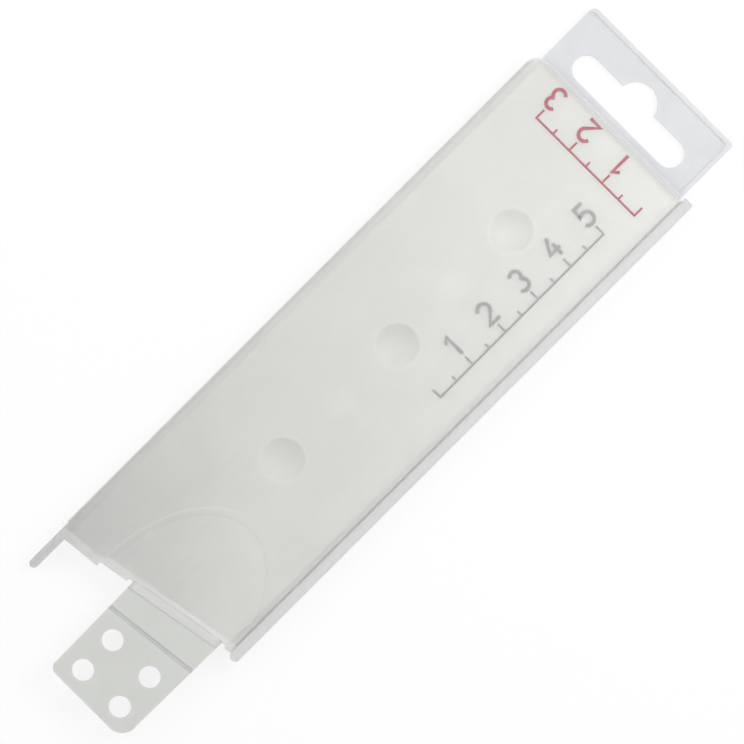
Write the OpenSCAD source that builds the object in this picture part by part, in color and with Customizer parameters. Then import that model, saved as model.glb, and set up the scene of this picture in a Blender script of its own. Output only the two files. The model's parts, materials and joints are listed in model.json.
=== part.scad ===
// Hinged knife blade guard, moulded in milky polypropylene, lying on its rear panel with its cover up.
// While it is built, x runs from the mouth to the hanger end, y from the edge wall to the snap rail
// and z up from the surface under the rear panel. x is 0 at the mouth's corner and y at the edge wall.
// The finished part's origin is the middle of its box, on that surface.

/* [Case] */
// Length of the cover along the edge wall, from the mouth to the hanger end
case_l = 146.6; // [135:0.1:220]
// Width of the cover, over the edge wall and the snap lip
cover_w = 44.6; // [44:0.1:60]
// Height of the space for the blade
blade_gap = 4.5; // [4.4:0.1:6.5]
// Thickness of the rear panel
rear_t = 1.1; // [0.9:0.05:1.6]
// Thickness of the cover's panel
cover_t = 1.1; // [0.9:0.05:1.6]
// Thickness of the edge wall, which faces the cutting edge
edge_wall_t = 1.95; // [1.4:0.05:2.6]
// Thickness of the wall at the hanger end
end_wall_t = 1.2; // [0.8:0.1:2]
// Outer rounding of the cover along the edge wall
edge_r = 1.8; // [0.6:0.1:2.4]
// Outer rounding of the cover along its snap lip and its hanger end
rim_r = 0.6; // [0.3:0.1:0.9]
// Inner rounding between the cover's panel and its walls
inner_r = 0.7; // [0.3:0.1:1.2]
// Chamfer of the cover's corner between the edge wall and the hanger end
corner_cut = 1; // [0.4:0.1:2]
// Gap at the parting line, between the closed cover and the rear panel
part_gap = 0.15; // [0.1:0.05:0.3]

/* [Mouth] */
// Slant of the mouth beside the edge wall, in degrees
mouth_slant = 5.6; // [0:0.1:12]
// Slant of the mouth across the lead-in, which the strap's root crease follows, in degrees
lead_slant = 10.2; // [4:0.1:14]
// How far the mouth steps back where the lead-in starts
mouth_step = 1.1; // [0:0.1:3]
// How far the rear panel's mouth edge lies behind the cover's
rear_setback = 1.6; // [1.2:0.1:4]
// Length of the prong that the edge wall sends past the mouth
prong_l = 9.4; // [4:0.1:14]
// Height of the prong at its tip
prong_tip_h = 2.6; // [1.5:0.1:4]

/* [Lead-in] */
// Length of the raised lead-in from the mouth to its far end
lead_l = 29.2; // [20:0.1:34]
// Half of the lead-in's width at the mouth
lead_half_w = 18.1; // [14:0.1:19]
// Middle of the lead-in, measured from the edge wall's outer face
lead_y = 29.15; // [28:0.05:32]
// Rise of the lead-in at the mouth
lead_h = 0.7; // [0.3:0.05:1.2]
// Width of the slope round the lead-in
lead_side = 1.9; // [1:0.1:3]

/* [Grip nubs] */
// Diameter of a nub's dish at the panel's outer face
nub_d = 10.2; // [7:0.1:13]
// Depth of a nub's dish
nub_depth = 1.9; // [1.2:0.1:2.1]
// Wall of a nub
nub_wall = 1; // [0.7:0.05:1.2]
// Distance from one nub of a panel to its next
nub_pitch = 35; // [28:0.5:36]
// Number of nubs on each panel
nub_count = 3; // [1:1:3]
// First cover nub, measured from the mouth's corner
nub_x = 45.9; // [42:0.1:52]
// Row of nubs, measured from the edge wall's outer face
nub_y = 23.35; // [18:0.05:28]

/* [Snap] */
// Thickness of the cover's snap lip
lip_t = 1.1; // [0.9:0.05:1.4]
// Gap between the snap lip and the rail
rail_gap = 0.35; // [0.3:0.05:0.5]
// Width of the rail
rail_w = 2.4; // [1.8:0.1:3.5]
// Height of the rail's top below the cover's top
rail_drop = 0.7; // [0.3:0.1:2]
// How far the rail runs past the cover at either end
rail_overhang = 1; // [0:0.1:2]
// Rounding of the rail's ends
rail_end_r = 1; // [0.4:0.1:1.1]
// Rounding of the rail's long edges
rail_r = 0.6; // [0.3:0.1:0.8]
// How far the snap lip's bead stands out
bead_reach = 0.2; // [0.1:0.05:0.2]
// How far the rail's hook stands out above the bead
hook_reach = 0.1; // [0.05:0.05:0.1]
// Radius of the bead's and the hook's rounding
bead_r = 0.35; // [0.3:0.05:0.5]

/* [Hang tab] */
// Length of the tab past the cover
tab_l = 17; // [15.5:0.1:24]
// Width of the tab
tab_w = 43; // [36:0.1:43.2]
// Distance from the edge wall's outer face to the tab
tab_y = 1.4; // [0.6:0.1:3]
// Thickness of the tab
tab_t = 1.3; // [1:0.05:2]
// Width of the raised rim on the tab's outer end and rail side
tab_rim_w = 1.1; // [0.6:0.1:2]
// Height of that rim above the tab
tab_rim_h = 0.25; // [0.1:0.05:0.6]
// Rounding of the tab's corner on the edge wall's side
tab_r_edge = 1.5; // [0.5:0.1:4]
// Rounding of the tab's corner on the rail's side
tab_r_rail = 1; // [0.5:0.1:4]
// Width of the ledge that stands against the cover's end
ledge_w = 1.1; // [0.8:0.1:1.8]
// Height of the ledge above the tab
ledge_h = 0.9; // [0.4:0.1:2.5]

/* [Hanger slot] */
// Length of the hanger slot
slot_l = 32; // [26:0.5:32]
// Width of the slot's straight part
slot_w = 6.5; // [4.5:0.1:7]
// Depth of the slot with its hook round
slot_h = 10.5; // [9.5:0.1:11]
// Radius of the hook round
slot_r = 4.65; // [3.8:0.05:4.8]
// Distance from the cover's end to the slot
slot_x = 2.7; // [2.2:0.1:4]

/* [Strap] */
// Thickness of the strap
strap_t = 1; // [0.8:0.05:1.1]
// Middle of the strap, measured from the edge wall's outer face
strap_y = 30.55; // [29:0.05:31]
// Width of the strap at its root
strap_root_w = 22.9; // [18:0.1:23.2]
// Width of the strap at its tip
strap_tip_w = 22.1; // [17:0.1:23.2]
// Length of the band between the two creases, on the strap's middle
band_l = 7.5; // [6:0.1:12]
// Length of the end plate from the fold crease to the tip, on the strap's middle
plate_l = 19.9; // [18:0.1:30]
// Slant of the fold crease, in degrees
fold_slant = 6.5; // [0:0.1:12]
// Width of the root crease's groove
root_groove = 2; // [1.6:0.1:2.4]
// Width of the fold crease's groove
fold_groove = 1; // [0.8:0.1:1.6]
// Rounding of the tip's corner on the edge wall's side
tip_r_edge = 1.7; // [0.5:0.1:4]
// Rounding of the tip's corner on the rail's side
tip_r_rail = 3.7; // [0.5:0.1:4]
// Radius of the notch on either side of the strap's root
notch_r = 0.7; // [0.4:0.1:1]

/* [Strap holes] */
// Diameter of each hole
hole_d = 4.8; // [3:0.1:5.5]
// Spacing of the holes along the strap
hole_dx = 9.1; // [7:0.1:10]
// Spacing of the holes across the strap
hole_dy = 11.3; // [8:0.1:13]
// Distance from the tip to the first pair of holes
hole_tip = 4.75; // [4:0.05:6]

/* [Hinge webs] */
// Thickness of the two flat webs at the strap's creases
web_t = 0.35; // [0.25:0.05:0.45]
// Gap at a flat web's free end
web_gap = 0.05; // [0.03:0.01:0.1]
// Radius of the curled web that joins the cover to the rear panel
hinge_r = 0.3; // [0.25:0.05:0.4]
// How far the cover's hinge axis lies outside the edge wall
hinge_out = 0.05; // [0.05:0.05:0.2]
// How far the curled web stops short of either end of the cover
hinge_short = 1.5; // [1:0.5:10]

/* [Hidden] */
$fn = 64;
milky = [0.87, 0.88, 0.86];
milky_thin = [0.91, 0.92, 0.93];
milky_thick = [0.8, 0.81, 0.79];

// Cuts run past what they cut by this much, and fused shapes into each other
past = 1;
// Heights of the levels, from the bottom up
cover_z = rear_t + part_gap;
ceiling_z = rear_t + blade_gap;
top_z = ceiling_z + cover_t;
lead_z = top_z + lead_h;
rail_z = top_z - rail_drop;
strap_z = lead_z - strap_t;
hinge_z = rear_t + part_gap / 2;
// Places across the case
lip_y = cover_w - lip_t;
rail_y = cover_w + rail_gap;
lead_start_y = lead_y - lead_half_w;
// The mouth's edge as x against y, on its two stretches
lead_start_x = lead_start_y * tan(mouth_slant) + mouth_step;
function near_mouth(y) = y * tan(mouth_slant);
function lead_mouth(y) = lead_start_x + (y - lead_start_y) * tan(lead_slant);
// The creases' middles on the strap's middle, and the strap's tip
root_x = lead_mouth(strap_y);
fold_x = root_x - band_l;
tip_x = fold_x - plate_l;
// Middles of the root's notches, on either side of the strap's middle
notch_y = strap_root_w / 2 + notch_r * 0.7;
// Ends of the rail
rail_start = lead_mouth(cover_w) - rail_overhang;
rail_end = case_l + rail_overhang;
// Relief round the curled web, so that the cover turns clear of it
hinge_relief = hinge_r + 0.1;
// Spheres that a nub's dish and its inner face lie on
nub_r = (nub_d * nub_d / 4 + nub_depth * nub_depth) / (2 * nub_depth);
// A fillet is never wider than the wall that carries it
wall_r = min(edge_r, edge_wall_t - 0.05);
// The box round the part, whose middle is the origin
mid_x = (tip_x + case_l + tab_l) / 2;
mid_y = (rail_y + rail_w - hinge_out - hinge_r) / 2;

// Moves the finished shape to its place about the part's origin
module placed() {
    translate([-mid_x, mid_y, 0])
        mirror([0, 1, 0])
            children();
}

// Extrudes a section drawn in y and z from x0 to x1
module along(x0, x1) {
    translate([x0, 0, 0])
        rotate([90, 0, 90])
            linear_extrude(x1 - x0)
                children();
}

// Extrudes a section drawn in x and z from y0 to y1
module across(y0, y1) {
    translate([0, y1, 0])
        rotate([90, 0, 0])
            linear_extrude(y1 - y0)
                children();
}

// Extrudes a plan drawn in x and y from z0 to z1
module upward(z0, z1) {
    translate([0, 0, z0])
        linear_extrude(z1 - z0)
            children();
}

// A rectangle from one corner to the other
module rect(x0, y0, x1, y1) {
    translate([x0, y0])
        square([x1 - x0, y1 - y0]);
}

// The corner of a square that lies outside its round, for cutting or filling; sx and sy point into it
module corner(x, y, r, sx, sy) {
    translate([x, y])
        difference() {
            rect(min(0, sx * r), min(0, sy * r), max(0, sx * r), max(0, sy * r));
            translate([sx * r, sy * r])
                circle(r);
        }
}

// Everything in front of the mouth, seen from above; back moves its edge into the case
module before_mouth(back = 0) {
    far = tip_x - past;
    edge = cover_w + rail_gap + rail_w + past;
    polygon([
        [far, -past],
        [near_mouth(-past) + back, -past],
        [near_mouth(lead_start_y) + back, lead_start_y],
        [lead_start_x + back, lead_start_y],
        [lead_mouth(edge) + back, edge],
        [far, edge]
    ]);
}

// The strip from x0 to x1 beside a crease, which runs through x at the strap's middle
module beside_crease(x, slant, x0, x1) {
    translate([x, strap_y])
        rotate(-slant)
            rect(x0, -strap_root_w, x1, strap_root_w);
}

// The whole strap seen from above, run on under the cover
module strap_plan() {
    root_end = root_x + lead_l / 2;
    difference() {
        polygon([
            [tip_x, strap_y - strap_tip_w / 2],
            [root_x, strap_y - strap_root_w / 2],
            [root_end, strap_y - strap_root_w / 2],
            [root_end, strap_y + strap_root_w / 2],
            [root_x, strap_y + strap_root_w / 2],
            [tip_x, strap_y + strap_tip_w / 2]
        ]);
        corner(tip_x, strap_y - strap_tip_w / 2, tip_r_edge, 1, 1);
        corner(tip_x, strap_y + strap_tip_w / 2, tip_r_rail, 1, -1);
    }
}

// The four round holes of the strap's end plate
module strap_holes() {
    for (ix = [0, 1], iy = [-0.5, 0.5])
        translate([tip_x + hole_tip + ix * hole_dx, strap_y + iy * hole_dy, strap_z - past])
            cylinder(d = hole_d, h = strap_t + 2 * past);
}

// One side of a nub: the ball cap that sinks into a panel from z, of radius r; down is 1 for the cover
module nub_ball(x, z, down, r) {
    translate([x, nub_y, z + down * (nub_r - nub_depth)])
        sphere(r);
}

// Half an ellipse round the lead-in's far end, drawn in by inset and run out over the mouth
function lead_outline(inset) = concat(
    [for (i = [-18:18])
        [lead_start_x + (lead_l - inset) * cos(i * 5),
            min(lead_y + (lead_half_w - inset) * sin(i * 5), cover_w - rim_r - inset)]],
    [[-past, min(lead_y + lead_half_w - inset, cover_w - rim_r - inset)],
        [-past, lead_y - lead_half_w + inset]]
);

// How far the lead-in has risen at x: all of it at the strap's root, nothing at the far end
lead_flat_x = lead_mouth(strap_y + strap_root_w / 2) + root_groove;
function lead_rise(x) = lead_h * min(1, (lead_start_x + lead_l - x) / (lead_start_x + lead_l - lead_flat_x));

// The lead-in as a solid over the level z: a sloping side round a top that falls to the far end
module lead_solid(z, inset) {
    foot = lead_outline(inset);
    brow = lead_outline(inset + lead_side);
    hull() {
        for (p = foot)
            translate([p[0], p[1], z - cover_t / 4])
                cube(0.001);
        for (p = brow)
            translate([p[0], p[1], z + lead_rise(p[0])])
                cube(0.001);
    }
}

// The cover's panel and snap lip in section, from the edge wall to the rail
module cover_section() {
    difference() {
        union() {
            rect(edge_wall_t, ceiling_z, cover_w, top_z);
            rect(lip_y, cover_z, cover_w, top_z);
            corner(lip_y, ceiling_z, inner_r, -1, -1);
            corner(edge_wall_t, ceiling_z, inner_r, 1, -1);
            translate([cover_w + bead_reach - bead_r, (cover_z + ceiling_z) / 2])
                circle(bead_r);
        }
        corner(cover_w, top_z, rim_r, -1, -1);
    }
}

// Front cover without its edge wall: panel, nubs, lead-in, end wall and snap lip
module cover_panel() {
    color(milky)
        placed()
            difference() {
                union() {
                    along(-past, case_l)
                        cover_section();
                    along(case_l - end_wall_t, case_l)
                        rect(edge_wall_t, cover_z, cover_w, top_z);
                    lead_solid(top_z, 0);
                    intersection() {
                        for (i = [0:nub_count - 1])
                            nub_ball(nub_x + i * nub_pitch, top_z, 1, nub_r + nub_wall);
                        upward(rear_t, ceiling_z + cover_t / 2)
                            rect(0, 0, case_l, cover_w);
                    }
                }
                lead_solid(ceiling_z, cover_t / 2);
                for (i = [0:nub_count - 1])
                    nub_ball(nub_x + i * nub_pitch, top_z, 1, nub_r);
                upward(0, lead_z + past)
                    before_mouth();
                upward(0, lead_z + past)
                    intersection() {
                        strap_plan();
                        beside_crease(root_x, lead_slant, -root_groove, root_groove / 2);
                    }
                for (side = [-1, 1])
                    translate([lead_mouth(strap_y + side * notch_y), strap_y + side * notch_y, 0])
                        cylinder(r = notch_r, h = lead_z + past);
                across(-past, cover_w + past)
                    corner(case_l, top_z, rim_r, -1, -1);
            }
}

// Closed edge of the cover, with the prong that covers the blade's heel
module edge_wall() {
    color(milky_thick)
        placed()
            difference() {
                along(-prong_l, case_l)
                    difference() {
                        rect(0, cover_z, edge_wall_t, top_z);
                        corner(0, top_z, wall_r, 1, -1);
                    }
                upward(0, top_z + past) {
                    corner(-prong_l, 0, edge_wall_t / 2, 1, 1);
                    corner(-prong_l, edge_wall_t, edge_wall_t / 2, 1, -1);
                }
                across(-past, edge_wall_t + past)
                    polygon([
                        [-prong_l - past, cover_z + prong_tip_h],
                        [-prong_l, cover_z + prong_tip_h],
                        [0, top_z],
                        [0, top_z + past],
                        [-prong_l - past, top_z + past]
                    ]);
                across(-past, cover_w + past)
                    corner(case_l, top_z, rim_r, -1, -1);
                case_corner();
                along(0, case_l + past)
                    translate([-hinge_out, hinge_z])
                        circle(hinge_relief);
            }
}

// What the chamfer takes off the case's corner beside the tab
module case_corner() {
    upward(-past, top_z + past)
        polygon([
            [case_l - corner_cut, -past],
            [case_l + past, -past],
            [case_l + past, corner_cut],
            [case_l, corner_cut],
            [case_l - corner_cut, 0]
        ]);
}

// Rear panel with its nubs, which stand between the cover's
module rear_panel() {
    color(milky)
        placed()
            difference() {
                union() {
                    along(0, case_l)
                        difference() {
                            rect(0, 0, rail_y, rear_t);
                            corner(0, 0, rear_t / 2, 1, 1);
                        }
                    intersection() {
                        for (i = [0:nub_count - 1])
                            nub_ball(nub_x + (i + 0.5) * nub_pitch, 0, -1, nub_r + nub_wall);
                        upward(rear_t / 2, ceiling_z)
                            rect(0, 0, case_l, cover_w);
                    }
                }
                for (i = [0:nub_count - 1])
                    nub_ball(nub_x + (i + 0.5) * nub_pitch, 0, -1, nub_r);
                upward(-past, rear_t + past)
                    before_mouth(rear_setback);
                case_corner();
                along(0, case_l + past)
                    translate([-hinge_out, hinge_z])
                        circle(hinge_r);
            }
}

// Curled web between the rear panel and the edge wall
module cover_hinge_web() {
    color(milky_thick)
        placed()
            along(rear_setback + hinge_short, case_l - hinge_short)
                translate([-hinge_out, hinge_z])
                    circle(hinge_r);
}

// Rail on the open long edge, with the hook over the snap lip's bead
module snap_rail() {
    color(milky_thin)
        placed()
            intersection() {
                along(rail_start, rail_end)
                    difference() {
                        union() {
                            rect(rail_y, 0, rail_y + rail_w, rail_z);
                            translate([rail_y - hook_reach + bead_r, rail_z - rail_r - bead_r])
                                circle(bead_r);
                        }
                        corner(rail_y, rail_z, rail_r, 1, -1);
                        corner(rail_y + rail_w, rail_z, rail_r, -1, -1);
                        corner(rail_y + rail_w, 0, rail_r, -1, 1);
                    }
                upward(-past, rail_z + past)
                    difference() {
                        rect(rail_start, rail_y - past, rail_end, rail_y + rail_w);
                        corner(rail_start, rail_y + rail_w, rail_end_r, 1, -1);
                        corner(rail_end, rail_y + rail_w, rail_end_r, -1, -1);
                        corner(rail_start, rail_y, rail_end_r, 1, 1);
                        corner(rail_end, rail_y, rail_end_r, -1, 1);
                        rect(rail_start - past, rail_y - past, rail_start + rail_end_r, rail_y);
                        rect(rail_end - rail_end_r, rail_y - past, rail_end + past, rail_y);
                    }
            }
}

// The tab's outline, drawn in by inset on its outer end and rail side
module tab_plan(inset = 0) {
    end = case_l + tab_l - inset;
    difference() {
        rect(case_l, tab_y, end, tab_y + tab_w - inset);
        corner(end, tab_y, tab_r_edge, -1, 1);
        corner(end, tab_y + tab_w - inset, tab_r_rail, -1, -1);
    }
}

// European hanger slot: a round-ended slot with a wider round in its outer side
module hanger_slot() {
    x0 = case_l + slot_x;
    slot_y = tab_y + tab_w / 2;
    half = slot_l / 2 - slot_w / 2;
    rect(x0, slot_y - half, x0 + slot_w, slot_y + half);
    for (side = [-1, 1])
        translate([x0 + slot_w / 2, slot_y + side * half])
            circle(d = slot_w);
    translate([x0 + slot_h - slot_r, slot_y])
        circle(slot_r);
}

// Hang tab, one layer thick, with a rim and the ledge against the cover's end
module hang_tab() {
    ledge_x = case_l + part_gap;
    color(milky_thin)
        placed()
            difference() {
                union() {
                    upward(0, tab_t)
                        tab_plan();
                    upward(0, tab_t + tab_rim_h)
                        difference() {
                            tab_plan();
                            tab_plan(tab_rim_w);
                        }
                    across(tab_y, tab_y + tab_w)
                        difference() {
                            rect(ledge_x, tab_t / 2, ledge_x + ledge_w, tab_t + ledge_h);
                            corner(ledge_x + ledge_w, tab_t + ledge_h, ledge_w / 2, -1, -1);
                        }
                }
                upward(-past, tab_t + tab_rim_h + past)
                    hanger_slot();
            }
}

// Thin web in the strap's top skin, at the cover's mouth
module strap_root_web() {
    color(milky_thin)
        placed()
            upward(lead_z - web_t, lead_z)
                intersection() {
                    strap_plan();
                    beside_crease(root_x, lead_slant, web_gap - root_groove / 2, root_groove / 2);
                }
}

// Band of the strap between its two creases
module strap_band() {
    color(milky)
        placed()
            upward(strap_z, lead_z)
                intersection() {
                    strap_plan();
                    beside_crease(root_x, lead_slant, tip_x, -root_groove / 2);
                    beside_crease(fold_x, fold_slant, fold_groove / 2, band_l + root_x);
                }
}

// Thin web in the strap's bottom skin, between the band and the end plate
module strap_fold_web() {
    color(milky_thin)
        placed()
            upward(strap_z, strap_z + web_t)
                intersection() {
                    strap_plan();
                    beside_crease(fold_x, fold_slant, web_gap - fold_groove / 2, fold_groove / 2);
                }
}

// End plate of the strap with its four holes
module strap_plate() {
    color(milky_thick)
        placed()
            difference() {
                upward(strap_z, lead_z)
                    intersection() {
                        strap_plan();
                        beside_crease(fold_x, fold_slant, -plate_l - past * 4, -fold_groove / 2);
                    }
                strap_holes();
            }
}

rear_panel();
hang_tab();
snap_rail();
cover_hinge_web();
cover_panel();
edge_wall();
strap_root_web();
strap_band();
strap_fold_web();
strap_plate();
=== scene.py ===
import json
import logging
import math
from dataclasses import dataclass, field
from enum import Enum
from typing import Any, Dict, List, Optional, Sequence, Tuple, Union

import bmesh
import bpy
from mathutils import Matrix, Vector


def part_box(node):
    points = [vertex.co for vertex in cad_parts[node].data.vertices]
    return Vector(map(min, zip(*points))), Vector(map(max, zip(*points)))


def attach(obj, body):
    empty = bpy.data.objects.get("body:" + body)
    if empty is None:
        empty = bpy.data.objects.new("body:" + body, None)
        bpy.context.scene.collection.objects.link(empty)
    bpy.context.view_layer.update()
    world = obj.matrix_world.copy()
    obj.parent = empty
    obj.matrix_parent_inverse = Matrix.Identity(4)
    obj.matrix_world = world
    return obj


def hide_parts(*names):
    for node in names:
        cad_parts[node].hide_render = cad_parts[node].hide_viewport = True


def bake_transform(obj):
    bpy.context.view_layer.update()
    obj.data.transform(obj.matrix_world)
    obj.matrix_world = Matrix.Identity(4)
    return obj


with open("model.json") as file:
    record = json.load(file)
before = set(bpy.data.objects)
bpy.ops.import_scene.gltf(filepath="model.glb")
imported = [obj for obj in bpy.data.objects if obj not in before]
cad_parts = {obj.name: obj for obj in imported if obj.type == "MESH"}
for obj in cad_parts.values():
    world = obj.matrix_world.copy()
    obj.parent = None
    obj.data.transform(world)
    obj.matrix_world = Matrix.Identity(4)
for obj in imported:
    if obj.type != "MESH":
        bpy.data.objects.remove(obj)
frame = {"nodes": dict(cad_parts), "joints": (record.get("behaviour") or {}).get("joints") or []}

LOG = logging.getLogger("blade_guard")
MM = 0.001
MIDDLE = 0.5  # of a noise and of a tone, which both run from 0 to 1
PANEL_TOP = 6.7 * MM
Colour = Tuple[float, float, float]
Point = Tuple[float, float]
Owner = Union[bpy.types.Material, bpy.types.World]
Rows = List[List[bmesh.types.BMVert]]


class Body(Enum):
    """The bodies of the guard that move on their own."""

    CASE = "case"
    COVER = "cover"
    BAND = "band"
    END_PLATE = "end_plate"


class Socket:
    """A shader socket that Python expressions can use as a number.

    Args:
        graph: The graph that the socket belongs to.
        link: The output socket of a node.
    """

    def __init__(self, graph: "Graph", link: bpy.types.NodeSocket) -> None:
        """Keeps the graph and the node's output."""
        self.graph = graph
        self.link = link

    def _math(self, operation: str, first: "Number", second: "Number") -> "Socket":
        """Adds one Math node.

        Args:
            operation: The Math node's operation.
            first: Its first value.
            second: Its second value.

        Returns:
            The node's result.
        """
        return self.graph.add("ShaderNodeMath", {"operation": operation}, {0: first, 1: second})

    def __add__(self, other: "Number") -> "Socket":
        """Adds a value."""
        return self._math("ADD", self, other)

    __radd__ = __add__

    def __mul__(self, other: "Number") -> "Socket":
        """Multiplies by a value."""
        return self._math("MULTIPLY", self, other)

    __rmul__ = __mul__

    def __sub__(self, other: "Number") -> "Socket":
        """Takes a value away."""
        return self._math("SUBTRACT", self, other)

    def __rsub__(self, other: "Number") -> "Socket":
        """Is taken away from a value."""
        return self._math("SUBTRACT", other, self)

    def __truediv__(self, other: "Number") -> "Socket":
        """Divides by a value."""
        return self._math("DIVIDE", self, other)

    def __rtruediv__(self, other: "Number") -> "Socket":
        """Divides a value."""
        return self._math("DIVIDE", other, self)

    def __pow__(self, other: "Number") -> "Socket":
        """Raises to a power."""
        return self._math("POWER", self, other)

    def __abs__(self) -> "Socket":
        """Drops the sign."""
        return self._math("ABSOLUTE", self, 0.0)

    def limited(self) -> "Socket":
        """Keeps the value from 0 to 1."""
        return self.graph.add("ShaderNodeClamp", {}, {"Value": self})


Number = Union[float, Socket]


class Graph:
    """The node graph of one material, or of the world.

    Args:
        owner: The new material or world.
    """

    # A Mix node's sockets for colours, by place, because others share their names.
    MIX_SHARE = 0
    MIX_LOW = 6
    MIX_HIGH = 7
    MIX_RESULT = 2

    def __init__(self, owner: Owner) -> None:
        """Starts an empty graph."""
        self.owner = owner
        self.owner.use_nodes = True
        self.tree = self.owner.node_tree
        self.tree.nodes.clear()

    def node(
        self,
        kind: str,
        settings: Optional[Dict[str, Any]] = None,
        inputs: Optional[Dict[Union[int, str], Any]] = None,
    ) -> bpy.types.Node:
        """Adds a node of any kind.

        Args:
            kind: The node's type.
            settings: Its own settings, which are made first.
            inputs: A value or a link for each socket, by name or place.

        Returns:
            The node.
        """
        node = self.tree.nodes.new(kind)
        for key, setting in (settings or {}).items():
            setattr(node, key, setting)
        for key, value in (inputs or {}).items():
            if isinstance(value, Socket):
                self.tree.links.new(value.link, node.inputs[key])
            else:
                node.inputs[key].default_value = value
        return node

    def add(
        self,
        kind: str,
        settings: Optional[Dict[str, Any]] = None,
        inputs: Optional[Dict[Union[int, str], Any]] = None,
        output: Union[int, str] = 0,
    ) -> Socket:
        """Adds a node of any kind, for one of its outputs.

        Args:
            kind: The node's type.
            settings: Its own settings, which are made first.
            inputs: A value or a link for each socket, by name or place.
            output: The output that is wanted, by name or place.

        Returns:
            The wanted output.
        """
        return Socket(self, self.node(kind, settings, inputs).outputs[output])

    def mix(self, share: Number, low: Any, high: Any) -> Socket:
        """Mixes two colours.

        Args:
            share: 0 for the first colour and 1 for the second.
            low: The first colour.
            high: The second colour.

        Returns:
            The mixed colour.
        """
        inputs = {self.MIX_SHARE: share, self.MIX_LOW: low, self.MIX_HIGH: high}
        return self.add("ShaderNodeMix", {"data_type": "RGBA"}, inputs, self.MIX_RESULT)

    def noise(self, place: Socket, scale: float, detail: float, distortion: float = 0.0) -> Socket:
        """Adds a noise pattern from 0 to 1.

        Args:
            place: Where the pattern is read.
            scale: Its waves in a metre.
            detail: How many finer waves it has.
            distortion: How far it is stirred.

        Returns:
            The pattern's value.
        """
        inputs = {"Vector": place, "Scale": scale, "Detail": detail, "Distortion": distortion}
        return self.add("ShaderNodeTexNoise", {}, inputs, "Fac")

    def ray(self, kind: str) -> Socket:
        """Tells rays of one kind from the rest.

        Args:
            kind: The output of the Light Path node.

        Returns:
            1 for such a ray, or else 0.
        """
        return self.add("ShaderNodeLightPath", output=kind)

    def finish(self, surface: Socket) -> Owner:
        """Ends the graph in a surface.

        Args:
            surface: The surface shader, or the world's background.

        Returns:
            The material or the world.
        """
        worldly = isinstance(self.owner, bpy.types.World)
        kind = "ShaderNodeOutputWorld" if worldly else "ShaderNodeOutputMaterial"
        self.node(kind, {}, {"Surface": surface})
        return self.owner


def rgba(colour: Colour, level: float = 1.0) -> Tuple[float, float, float, float]:
    """Gives a colour at another level, with full cover.

    Args:
        colour: The colour.
        level: What it is multiplied by.

    Returns:
        The colour with its alpha.
    """
    return (colour[0] * level, colour[1] * level, colour[2] * level, 1.0)


def ridge(value: Socket, middle: float, width: float) -> Socket:
    """Rises to 1 where a value is at its middle, and falls to 0 at a width from it.

    Args:
        value: The value.
        middle: Where the ridge stands.
        width: How far it reaches on each side.

    Returns:
        The ridge's height.
    """
    return (1.0 - abs(value - middle) / width).limited()


@dataclass(frozen=True)
class RoundMark:
    """A round place of the plastic that looks lighter or darker, with a soft edge and a rim line."""

    x: float
    y: float
    radius: float
    soft: float
    gain: float
    rim: float = 0.0

    def shade(self, x: Socket, y: Socket) -> Socket:
        """Gives how much lighter the mark makes the plastic.

        Args:
            x: The place along the guard.
            y: The place across it.

        Returns:
            The change of tone, 0 away from the mark.
        """
        reach = ((x - self.x) ** 2.0 + (y - self.y) ** 2.0) ** 0.5
        inside = ((self.radius - reach) / self.soft).limited()
        return self.gain * inside + self.rim * ridge(reach, self.radius, self.soft)


@dataclass(frozen=True)
class ArchMark:
    """The painted highlight at the foot of the lead-in's half ellipse, and the painted shade on its
    shoulder.

    The shoulder, the foot and the width of a line are shares of the ellipse's half axes. The painted
    highlight fades out from the edge wall's side to the axis, and fade says how soon.
    """

    x: float
    y: float
    half_length: float
    half_width: float
    shoulder: float = 0.94
    foot: float = 1.0
    width: float = 0.022
    fade: float = 3.0
    bright: float = 0.06
    dark: float = -0.035

    def shade(self, x: Socket, y: Socket) -> Socket:
        """Gives how much lighter the lines make the plastic.

        Args:
            x: The place along the guard.
            y: The place across it.

        Returns:
            The change of tone, 0 away from the lines.
        """
        along = (x - self.x) / self.half_length
        across = (y - self.y) / self.half_width
        reach = (along ** 2.0 + across ** 2.0) ** 0.5
        upper = (self.fade * across).limited()
        painted_highlight = self.bright * upper * ridge(reach, self.foot, self.width)
        return painted_highlight + self.dark * ridge(reach, self.shoulder, self.width)


Mark = Union[RoundMark, ArchMark]


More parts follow.
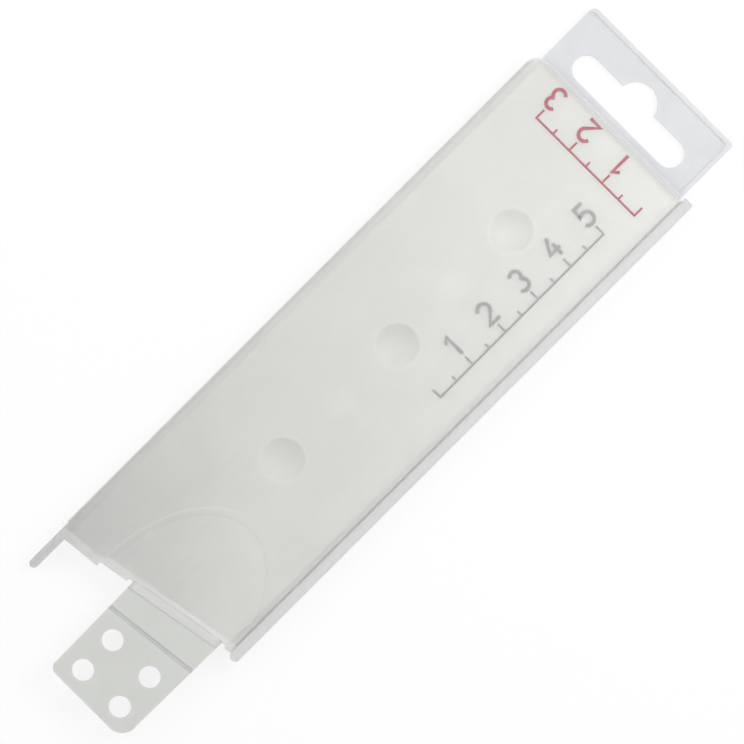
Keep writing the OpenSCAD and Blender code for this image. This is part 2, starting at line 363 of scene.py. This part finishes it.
@dataclass(frozen=True)
class MilkyPlastic:
    """Satin see-through polypropylene, a little cloudy, with faint flow lines from the mould.

    Its tone runs from 0 to 1, which is the colour less or more its span. Its drift is painted light
    and shade: it changes the tone along and across the guard, in tone for each metre.
    """

    name: str
    colour: Colour
    alpha: float = 0.8
    depth: float = 0.5
    scatter: float = 1.2 * MM
    roughness: float = 0.42
    roughness_change: float = 0.16
    ior: float = 1.49
    specular: float = 0.4
    span: float = 0.25
    cloud: float = 0.12
    cloud_scale: float = 70.0
    cloud_detail: float = 4.0
    cloud_stir: float = 0.9
    flow_share: float = 0.3
    flow_scale: float = 300.0
    flow_detail: float = 2.0
    flow_stir: float = 1.6
    flow_stretch: float = 0.16
    flow_height: float = 2.0
    grain_scale: float = 2600.0
    grain_detail: float = 2.0
    grain_height: float = 0.006 * MM
    bump: float = 0.35
    painted_light_drift: float = 0.0
    painted_light_across: float = 0.0
    painted_light_start: float = 0.06
    marks: Tuple[Mark, ...] = ()

    def tone(self, place: Socket, cloud: Socket, flow: Socket) -> Socket:
        """Gives how light the plastic is at a place, painted light and shade included.

        Args:
            place: The place on the piece.
            cloud: The pattern of the clouds.
            flow: The pattern of the flow lines.

        Returns:
            The tone, from 0 to 1.
        """
        graph = place.graph
        x = graph.add("ShaderNodeSeparateXYZ", {}, {0: place}, "X")
        y = graph.add("ShaderNodeSeparateXYZ", {}, {0: place}, "Y")
        pattern = (1.0 - self.flow_share) * cloud + self.flow_share * flow
        tone = MIDDLE + 2.0 * self.cloud * (pattern - MIDDLE)
        # Painted light and shade: the tone changes along and across the guard.
        if self.painted_light_drift:
            tone = tone + self.painted_light_drift * (x - self.painted_light_start) + self.painted_light_across * y
        for mark in self.marks:
            tone = tone + mark.shade(x, y) / (2.0 * self.span)
        return tone.limited()

    def build(self) -> bpy.types.Material:
        """Makes the material.

        Returns:
            The finished material.
        """
        graph = Graph(bpy.data.materials.new(self.name))
        place = graph.add("ShaderNodeTexCoord", output="Object")
        stretched = {"Vector": place, "Scale": (self.flow_stretch, 1.0, 1.0)}
        along = graph.add("ShaderNodeMapping", {}, stretched)
        cloud = graph.noise(place, self.cloud_scale, self.cloud_detail, self.cloud_stir)
        flow = graph.noise(along, self.flow_scale, self.flow_detail, self.flow_stir)
        grain = graph.noise(place, self.grain_scale, self.grain_detail)
        dark = rgba(self.colour, 1.0 - self.span)
        light = rgba(self.colour, 1.0 + self.span)
        height = grain + self.flow_height * flow
        relief = {"Strength": self.bump, "Distance": self.grain_height, "Height": height}
        surface = graph.add(
            "ShaderNodeBsdfPrincipled",
            {},
            {
                "Base Color": graph.mix(self.tone(place, cloud, flow), dark, light),
                "Roughness": self.roughness + self.roughness_change * (flow - MIDDLE),
                "Alpha": self.alpha,
                "Normal": graph.add("ShaderNodeBump", {}, relief),
                "IOR": self.ior,
                "Specular IOR Level": self.specular,
                "Subsurface Weight": self.depth,
                "Subsurface Radius": (1.0, 1.0, 1.0),
                "Subsurface Scale": self.scatter,
            },
        )
        return graph.finish(surface)


@dataclass(frozen=True)
class PrintInk:
    """A thin, slightly worn pad print."""

    name: str
    colour: Colour
    wear: float = 0.25
    wear_scale: float = 900.0
    wear_detail: float = 3.0
    worn_colour: Colour = (0.8, 0.8, 0.8)
    roughness: float = 0.35
    worn_roughness: float = 0.3

    def build(self) -> bpy.types.Material:
        """Makes the material.

        Returns:
            The finished material.
        """
        graph = Graph(bpy.data.materials.new(self.name))
        place = graph.add("ShaderNodeTexCoord", output="Object")
        worn = graph.noise(place, self.wear_scale, self.wear_detail)
        colour = graph.mix(self.wear * worn, rgba(self.colour), rgba(self.worn_colour))
        roughness = self.roughness + self.worn_roughness * worn
        surface = graph.add(
            "ShaderNodeBsdfPrincipled", {}, {"Base Color": colour, "Roughness": roughness}
        )
        return graph.finish(surface)


NUB_START = -24.95 * MM
NUB_PITCH = 35.0 * MM
NUB_COUNT = 3
NUB_Y = 0.15 * MM
SHADE_BACK = 1.2 * MM
SHADE_ASIDE = 3.6 * MM
FRONT_X = [NUB_START + NUB_PITCH * i for i in range(NUB_COUNT)]
REAR_X = [x - NUB_PITCH / 2 for x in FRONT_X[1:]]

# Painted highlight: a lighter line round the rim of each front dish.
FRONT_RIM_HIGHLIGHTS = tuple(
    RoundMark(x, NUB_Y, radius=5.1 * MM, soft=0.8 * MM, gain=0.0, rim=0.025) for x in FRONT_X
)
# Painted highlight where each rear nub shows through the cover.
REAR_NUB_HIGHLIGHTS = tuple(
    RoundMark(x, NUB_Y, radius=4.6 * MM, soft=2.6 * MM, gain=0.035) for x in REAR_X
)
# Painted shade on one side of each rear nub.
NUB_SHADES = tuple(
    RoundMark(x - SHADE_BACK, NUB_Y - SHADE_ASIDE, radius=2.2 * MM, soft=2.2 * MM, gain=-0.03)
    for x in REAR_X
)
# Painted shade: the cover darker round the mouth end and over the prong.
MOUTH_SHADE = RoundMark(-74.0 * MM, 22.0 * MM, radius=46.0 * MM, soft=40.0 * MM, gain=-0.11)
PRONG_SHADE = RoundMark(-76.0 * MM, 22.6 * MM, radius=9.0 * MM, soft=6.0 * MM, gain=-0.16)
# A round place over the lead-in, drawn a little lighter.
LEAD_IN_LIGHTENING = RoundMark(-50.0 * MM, -9.0 * MM, radius=20.0 * MM, soft=14.0 * MM, gain=0.02)
# Painted highlight and painted shade round the lead-in's half ellipse.
LEAD_IN = ArchMark(-68.35 * MM, -5.65 * MM, half_length=29.2 * MM, half_width=18.1 * MM)

PANEL = MilkyPlastic(
    "panel_plastic",
    (0.847, 0.853, 0.823),
    alpha=0.5,
    span=0.4,
    cloud=0.075,
    # Painted light and shade: lighter towards the hanger end, darker towards the mouth and the closed
    # edge.
    painted_light_drift=1.44,
    painted_light_across=-2.25,
    marks=FRONT_RIM_HIGHLIGHTS + REAR_NUB_HIGHLIGHTS + NUB_SHADES + (LEAD_IN, LEAD_IN_LIGHTENING, MOUTH_SHADE, PRONG_SHADE),
)
REAR = MilkyPlastic("rear_plastic", (0.845, 0.86, 0.825), alpha=0.5)
TAB = MilkyPlastic("tab_plastic", (0.72, 0.725, 0.745), alpha=0.8, cloud=0.2)
# The rail's drift is painted light too: lighter towards the hanger end.
RAIL = MilkyPlastic("rail_plastic", (0.66, 0.667, 0.665), alpha=0.42, painted_light_drift=0.8)
STRAP = MilkyPlastic("strap_plastic", (0.665, 0.675, 0.65), alpha=0.85)
WEB = MilkyPlastic("web_plastic", (0.69, 0.7, 0.69), alpha=0.6, roughness=0.35)
GREY_INK = PrintInk("grey_ink", (0.27, 0.285, 0.265))
RED_INK = PrintInk("red_ink", (0.36, 0.04, 0.07))


def dress(node: str, material: bpy.types.Material) -> None:
    """Gives a node of the frame its material.

    Args:
        node: The node's name.
        material: The material.
    """
    piece = frame["nodes"][node]
    piece.data.materials.clear()
    piece.data.materials.append(material)
    LOG.info("dressed %s in %s", node, material.name)


def add_mesh(name: str, mesh: bmesh.types.BMesh, material: bpy.types.Material) -> bpy.types.Object:
    """Turns a bmesh into an object of the scene.

    Args:
        name: The object's name.
        mesh: The mesh, which is freed.
        material: The material.

    Returns:
        The object.
    """
    data = bpy.data.meshes.new(name)
    bmesh.ops.recalc_face_normals(mesh, faces=mesh.faces)
    mesh.to_mesh(data)
    mesh.free()
    data.materials.append(material)
    piece = bpy.data.objects.new(name, data)
    bpy.context.scene.collection.objects.link(piece)
    LOG.info("made %s with %d faces", name, len(data.polygons))
    return piece


def bake_modifiers(piece: bpy.types.Object) -> None:
    """Puts the result of a piece's modifiers into its mesh.

    Args:
        piece: The piece.
    """
    bpy.context.view_layer.update()
    done = piece.evaluated_get(bpy.context.evaluated_depsgraph_get())
    piece.data = bpy.data.meshes.new_from_object(done)
    piece.modifiers.clear()


@dataclass
class Case:
    """The rear part: rear panel, hang tab, snap rail and the hinge web."""

    finishes: Dict[str, MilkyPlastic] = field(
        default_factory=lambda: {
            "rear_panel": REAR,
            "hang_tab": TAB,
            "snap_rail": RAIL,
            "cover_hinge_web": WEB,
        }
    )

    def build(self, made: Dict[str, bpy.types.Material]) -> None:
        """Dresses the rear part.

        Args:
            made: The materials by name.
        """
        for node, finish in self.finishes.items():
            dress(node, made[finish.name])


def arc(x: float, y: float, radius: float, start: float, end: float, steps: int = 12) -> List[Point]:
    """Gives points along an arc.

    Args:
        x: Its middle, to the right.
        y: Its middle, up.
        radius: Its radius.
        start: Its first angle, in degrees.
        end: Its last angle, in degrees.
        steps: How many steps it has.

    Returns:
        The points.
    """
    angles = [math.radians(start + (end - start) * i / steps) for i in range(steps + 1)]
    return [(x + radius * math.cos(a), y + radius * math.sin(a)) for a in angles]


# The strokes of each number, in shares of its height, from its lower left corner.
FIGURES: Dict[int, List[List[Point]]] = {
    1: [[(0.08, 0.78), (0.34, 1.0), (0.34, 0.0)]],
    2: [arc(0.31, 0.69, 0.29, 165, -38) + [(0.03, 0.0), (0.64, 0.0)]],
    3: [arc(0.29, 0.745, 0.255, 150, -75), arc(0.29, 0.27, 0.28, 62, -150)],
    4: [[(0.42, 1.0), (0.02, 0.32), (0.64, 0.32)], [(0.45, 0.62), (0.45, 0.0)]],
    5: [[(0.58, 1.0), (0.12, 1.0), (0.08, 0.56)] + arc(0.29, 0.32, 0.31, 120, -150)],
}


@dataclass
class Scale:
    """A plain printed scale: a base line, a short line at each step and a number at each.

    A stroke that crosses another is printed higher by a share of the film, so that no two tops
    lie at one height.
    """

    name: str
    start: Vector
    along: Vector
    across: Vector
    count: int
    pitch: float = 10.0 * MM
    tick: float = 2.4 * MM
    small_tick: float = 1.4 * MM
    line: float = 0.45 * MM
    stroke: float = 0.8 * MM
    film: float = 0.03 * MM
    film_rise: float = 0.5
    figure: float = 4.9 * MM
    figure_width: float = 0.64
    figure_gap: float = 0.9 * MM
    mitre_limit: float = 1.6

    def sides(self, path: Sequence[Vector], width: float) -> List[Vector]:
        """Gives the way from each point of a path to the left edge of its line.

        Args:
            path: The line's middle.
            width: Its width.

        Returns:
            One way for each point, longer at a bend up to the mitre limit.
        """
        runs = [(b - a).normalized() for a, b in zip(path, path[1:])]
        sides = []
        for before, after in zip(runs[:1] + runs, runs + runs[-1:]):
            mean = (before + after).normalized()
            side = Vector((-mean.y, mean.x, 0))
            reach = 1.0 / max(side.dot(Vector((-after.y, after.x, 0))), 1.0 / self.mitre_limit)
            sides.append(side * (width / 2 * reach))
        return sides

    def ribbon(
        self, mesh: bmesh.types.BMesh, path: Sequence[Vector], width: float, layer: int = 0
    ) -> None:
        """Adds a printed line along a path, as a thin slab with mitred bends.

        Args:
            mesh: The mesh that it joins.
            path: The line's middle.
            width: Its width.
            layer: How many strokes it may cross below it.
        """
        lift = Vector((0, 0, self.film * (1.0 + self.film_rise * layer)))
        rings = []
        for spot, side in zip(path, self.sides(path, width)):
            corners = (spot - side, spot + side, spot + side + lift, spot - side + lift)
            rings.append([mesh.verts.new(corner) for corner in corners])
        for ring, following in zip(rings, rings[1:]):
            for i in range(4):
                j = (i + 1) % 4
                mesh.faces.new((ring[i], ring[j], following[j], following[i]))
        mesh.faces.new(rings[0][::-1])
        mesh.faces.new(rings[-1])

    def number(self, mesh: bmesh.types.BMesh, value: int) -> None:
        """Adds one number beyond its line.

        Args:
            mesh: The mesh that it joins.
            value: The number.
        """
        foot = self.start + self.along * (self.pitch * value - self.figure * self.figure_width / 2)
        foot = foot + self.across * (self.tick + self.figure_gap)
        up = Vector((-self.along.y, self.along.x, 0))
        if up.dot(self.across) < 0:
            foot = foot + self.across * self.figure
        for layer, path in enumerate(FIGURES[value]):
            spots = [foot + (self.along * x + up * y) * self.figure for x, y in path]
            self.ribbon(mesh, spots, self.stroke, layer)

    def build(self, ink: bpy.types.Material, body: Body) -> None:
        """Makes the lines and the numbers.

        Args:
            ink: The material of the print.
            body: The body that carries it.
        """
        lines = bmesh.new()
        half = self.along * (self.line / 2)
        end = self.start + self.along * (self.pitch * self.count)
        self.ribbon(lines, (self.start - half, end + half), self.line)
        for i in range(2 * self.count + 1):
            reach = self.tick if i % 2 == 0 else self.small_tick
            step = self.start + self.along * (self.pitch * i / 2)
            foot = step + self.across * (self.line / 2)
            self.ribbon(lines, (foot, step + self.across * reach), self.line)
        figures = bmesh.new()
        for value in range(1, self.count + 1):
            self.number(figures, value)
        for part, mesh in (("lines", lines), ("figures", figures)):
            piece = add_mesh(f"{self.name}_{part}", mesh, ink)
            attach(piece, body.value)


@dataclass
class Cover:
    """The front part: the cover panel and the edge wall as one shell, and the printed scales."""

    rail_side: float = 6.9 * MM
    grey_count: int = 5
    grey_in: float = 7.5 * MM
    red_count: int = 3
    red_in: float = 9.6 * MM
    red_side: float = 5.0 * MM
    print_gap: float = 0.01 * MM
    sharp_angle: float = math.radians(32.0)
    even_weight: int = 100

    def shell(self, material: bpy.types.Material) -> None:
        """Joins the cover panel and the edge wall into the one moulding that they are.

        Args:
            material: The material.
        """
        data = frame["nodes"]["cover_panel"].data.copy()
        data.materials.clear()
        data.materials.append(material)
        piece = bpy.data.objects.new("cover_shell", data)
        bpy.context.scene.collection.objects.link(piece)
        join = piece.modifiers.new("join", "BOOLEAN")
        join.operation = "UNION"
        join.solver = "EXACT"
        join.object = frame["nodes"]["edge_wall"]
        bake_modifiers(piece)
        piece.data.shade_smooth()
        piece.data.set_sharp_from_angle(angle=self.sharp_angle)
        even = piece.modifiers.new("even", "WEIGHTED_NORMAL")
        even.keep_sharp = True
        even.weight = self.even_weight
        bake_modifiers(piece)
        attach(piece, Body.COVER.value)
        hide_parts("cover_panel", "edge_wall")
        LOG.info("made cover_shell with %d faces", len(piece.data.polygons))

    def build(self, made: Dict[str, bpy.types.Material]) -> None:
        """Dresses the cover and prints its scales.

        Args:
            made: The materials by name.
        """
        self.shell(made[PANEL.name])
        low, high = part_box("cover_panel")
        along = Vector((1, 0, 0))
        across = Vector((0, 1, 0))
        top = PANEL_TOP + self.print_gap
        red_x = high.x - self.red_in
        grey_x = red_x - self.grey_in - self.grey_count * Scale.pitch
        grey_start = Vector((grey_x, low.y + self.rail_side, top))
        grey = Scale("length_scale", grey_start, along, across, self.grey_count)
        grey.build(made[GREY_INK.name], Body.COVER)
        red_start = Vector((red_x, low.y + self.red_side, top))
        red = Scale("height_scale", red_start, across, along, self.red_count)
        red.build(made[RED_INK.name], Body.COVER)


@dataclass
class CreaseWeb:
    """A thin web across a crease of the strap.

    It reaches from its node's far edge to the near edge of the neighbour, and is thinnest halfway.
    Its flat skin is on top with skin_up, or else below.
    """

    name: str
    node: str
    neighbour: str
    joint: str
    skin_up: bool
    thinning: float = 0.12 * MM
    across_steps: int = 20
    along_steps: int = 12
    level_share: float = 0.5

    def extent(self, node: str, middle: Vector, way: Vector) -> Tuple[float, float]:
        """Measures a node across the crease.

        Args:
            node: The node's name.
            middle: The point on the crease that is 0.
            way: The direction across the crease.

        Returns:
            Its least and its greatest distance.
        """
        reach = [(v.co - middle).dot(way) for v in frame["nodes"][node].data.vertices]
        return min(reach), max(reach)

    def ends(self, middle: Vector, way: Vector) -> Tuple[float, float]:
        """Finds where the web starts and ends across the crease.

        Args:
            middle: The point on the crease that is 0.
            way: The direction across the crease.

        Returns:
            Its distance at its own end and at the neighbour.
        """
        web = self.extent(self.node, middle, way)
        neighbour = self.extent(self.neighbour, middle, way)
        side = 0 if sum(neighbour) > sum(web) else 1
        return web[side], neighbour[side]

    def sheets(
        self, mesh: bmesh.types.BMesh, middle: Vector, way: Vector, ends: Tuple[float, float]
    ) -> Tuple[Rows, Rows]:
        """Adds the points of the web's two skins.

        Args:
            mesh: The mesh that they join.
            middle: The point on the crease that is 0.
            way: The direction across the crease.
            ends: Where the web starts and ends across it.

        Returns:
            The points of the lower and of the upper skin, in rows along the crease.
        """
        low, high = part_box(self.node)
        rows = []
        for i in range(self.across_steps + 1):
            share = i / self.across_steps
            reach = ends[0] + (ends[1] - ends[0]) * share
            thin = self.thinning * math.sin(math.pi * share)
            row = []
            for k in range(self.along_steps + 1):
                y = low.y + (high.y - low.y) * k / self.along_steps
                x = middle.x + (reach - (y - middle.y) * way.y) / way.x
                row.append((x, y, thin))
            rows.append(row)
        lower = 1.0 if self.skin_up else 0.0
        upper = 1.0 - lower
        bottom = [[mesh.verts.new((x, y, low.z + thin * lower)) for x, y, thin in row] for row in rows]
        top = [[mesh.verts.new((x, y, high.z - thin * upper)) for x, y, thin in row] for row in rows]
        return bottom, top

    def skin(self, mesh: bmesh.types.BMesh, bottom: Rows, top: Rows) -> None:
        """Adds the faces of the two skins and of the edge between them.

        Args:
            mesh: The mesh that has the points.
            bottom: The points of the lower skin.
            top: The points of the upper skin.
        """
        across = range(self.across_steps)
        along = range(self.along_steps)
        for rows in (bottom, top):
            for i in across:
                for k in along:
                    mesh.faces.new((rows[i][k], rows[i + 1][k], rows[i + 1][k + 1], rows[i][k + 1]))
        for i in across:
            for k in (0, self.along_steps):
                mesh.faces.new((bottom[i][k], bottom[i + 1][k], top[i + 1][k], top[i][k]))
        for k in along:
            for i in (0, self.across_steps):
                mesh.faces.new((bottom[i][k], bottom[i][k + 1], top[i][k + 1], top[i][k]))

    def build(self, material: bpy.types.Material) -> None:
        """Makes the web in the place of its node.

        Args:
            material: The material.
        """
        joint = next(j for j in frame["joints"] if j["name"] == self.joint)
        middle = Vector(joint["pos_m"])
        line = Vector(joint["axis"]).normalized()
        way = Vector((line.y, -line.x, 0.0))
        start, end = self.ends(middle, way)
        mesh = bmesh.new()
        bottom, top = self.sheets(mesh, middle, way, (start, end))
        self.skin(mesh, bottom, top)
        piece = add_mesh(self.name, mesh, material)
        for face in piece.data.polygons:
            face.use_smooth = abs(face.normal.z) > self.level_share
        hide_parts(self.node)
        middle + way * start
        middle + way * end
        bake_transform(piece)


@dataclass
class Strap:
    """The creased strap: its band, its end plate and the webs at its two creases."""

    webs: Tuple[CreaseWeb, ...] = (
        CreaseWeb("root_crease", "strap_root_web", "strap_band", "strap_root", skin_up=True),
        CreaseWeb("fold_crease", "strap_fold_web", "strap_plate", "strap_fold", skin_up=False),
    )

    def build(self, made: Dict[str, bpy.types.Material]) -> None:
        """Dresses the strap and makes its webs.

        Args:
            made: The materials by name.
        """
        for node in ("strap_band", "strap_plate"):
            dress(node, made[STRAP.name])
        for web in self.webs:
            web.build(made[WEB.name])


@dataclass(frozen=True)
class Lamp:
    """A soft round lamp that looks at the guard.

    It hangs at a turn round the guard from +X and at a height over the table, both in degrees,
    and gives the table a share of full light.
    """

    name: str
    turn: float
    height: float
    size: float
    share: float

    def hang(self, distance: float) -> None:
        """Hangs the lamp.

        Args:
            distance: How far from the guard it hangs.
        """
        turn = math.radians(self.turn)
        rise = math.radians(self.height)
        data = bpy.data.lights.new(self.name, "AREA")
        data.shape = "DISK"
        data.size = self.size
        data.energy = self.share * (math.pi * distance) ** 2 / math.sin(rise)
        lamp = bpy.data.objects.new(self.name, data)
        bpy.context.scene.collection.objects.link(lamp)
        level = math.cos(rise)
        way = Vector((math.cos(turn) * level, math.sin(turn) * level, math.sin(rise)))
        lamp.location = way * distance
        lamp.rotation_euler = (-way).to_track_quat("-Z", "Y").to_euler()
        LOG.info("hung the lamp %s", self.name)


@dataclass
class Studio:
    """A white table, soft lamps and a camera that looks straight down."""

    table_size: float = 4.0
    table_gap: float = 0.05 * MM
    table_colour: Colour = (0.9, 0.9, 0.9)
    table_clear: float = 0.8
    frame_width: float = 161.1 * MM
    aim: Point = (1.95 * MM, -0.05 * MM)
    roll: float = -45.0
    lens: float = 200.0
    sensor: float = 36.0
    white: Colour = (1.0, 1.0, 1.0)
    ambient: float = 0.68
    lamp_distance: float = 0.42
    lamps: Tuple[Lamp, ...] = (
        Lamp("key", turn=-20.0, height=52.0, size=0.25, share=0.33),
        Lamp("fill", turn=110.0, height=50.0, size=0.3, share=0.15),
    )
    layers: int = 24

    def table(self) -> None:
        """Lays the white table, which keeps part of the guard's shadow.

        What hangs below it at a pose shows through.
        """
        graph = Graph(bpy.data.materials.new("white_table"))
        seen = graph.ray("Is Camera Ray") + graph.ray("Is Glossy Ray")
        clear = (self.table_clear * seen + graph.ray("Is Shadow Ray")).limited()
        plain = graph.add("ShaderNodeBsdfDiffuse", {}, {"Color": rgba(self.table_colour)})
        through = graph.add("ShaderNodeBsdfTransparent")
        mixed = graph.add("ShaderNodeMixShader", {}, {0: clear, 1: plain, 2: through})
        mesh = bmesh.new()
        bmesh.ops.create_grid(mesh, x_segments=2, y_segments=2, size=self.table_size / 2)
        bmesh.ops.translate(mesh, verts=mesh.verts, vec=(0, 0, -self.table_gap))
        add_mesh("table", mesh, graph.finish(mixed))

    def world(self) -> None:
        """Fills the studio with even light, and shows white behind everything."""
        graph = Graph(bpy.data.worlds.new("studio"))
        seen = graph.ray("Is Camera Ray") + graph.ray("Is Glossy Ray")
        seen = (seen + graph.ray("Is Transmission Ray")).limited()
        level = self.ambient + (1.0 - self.ambient) * seen
        inputs = {"Color": rgba(self.white), "Strength": level}
        bpy.context.scene.world = graph.finish(graph.add("ShaderNodeBackground", {}, inputs))

    def camera(self) -> None:
        """Sets the camera over the guard."""
        data = bpy.data.cameras.new("camera")
        data.lens = self.lens
        data.sensor_width = self.sensor
        camera = bpy.data.objects.new("camera", data)
        bpy.context.scene.collection.objects.link(camera)
        height = self.frame_width * self.lens / self.sensor
        camera.location = (self.aim[0], self.aim[1], height + PANEL_TOP)
        camera.rotation_euler = (0, 0, math.radians(self.roll))
        bpy.context.scene.camera = camera

    def build(self) -> None:
        """Sets up the studio."""
        self.camera()
        self.table()
        self.world()
        for lamp in self.lamps:
            lamp.hang(self.lamp_distance)
        bpy.context.scene.view_settings.view_transform = "Standard"
        bpy.context.scene.cycles.transparent_max_bounces = self.layers


def corners(box: Sequence[Vector]) -> List[List[float]]:
    """Writes a box's two corners as plain numbers.

    Args:
        box: The lowest and the highest corner.

    Returns:
        The corners as lists.
    """
    return [[float(value) for value in corner] for corner in box]


def main() -> None:
    """Builds the studio and dresses the guard."""
    logging.basicConfig(level=logging.INFO, format="%(message)s")
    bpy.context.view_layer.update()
    Studio().build()
    finishes = (PANEL, REAR, TAB, RAIL, STRAP, WEB, GREY_INK, RED_INK)
    made = {finish.name: finish.build() for finish in finishes}
    Case().build(made)
    Cover().build(made)
    Strap().build(made)
    LOG.info("wrote the sizes")


if __name__ == "__main__":
    main()
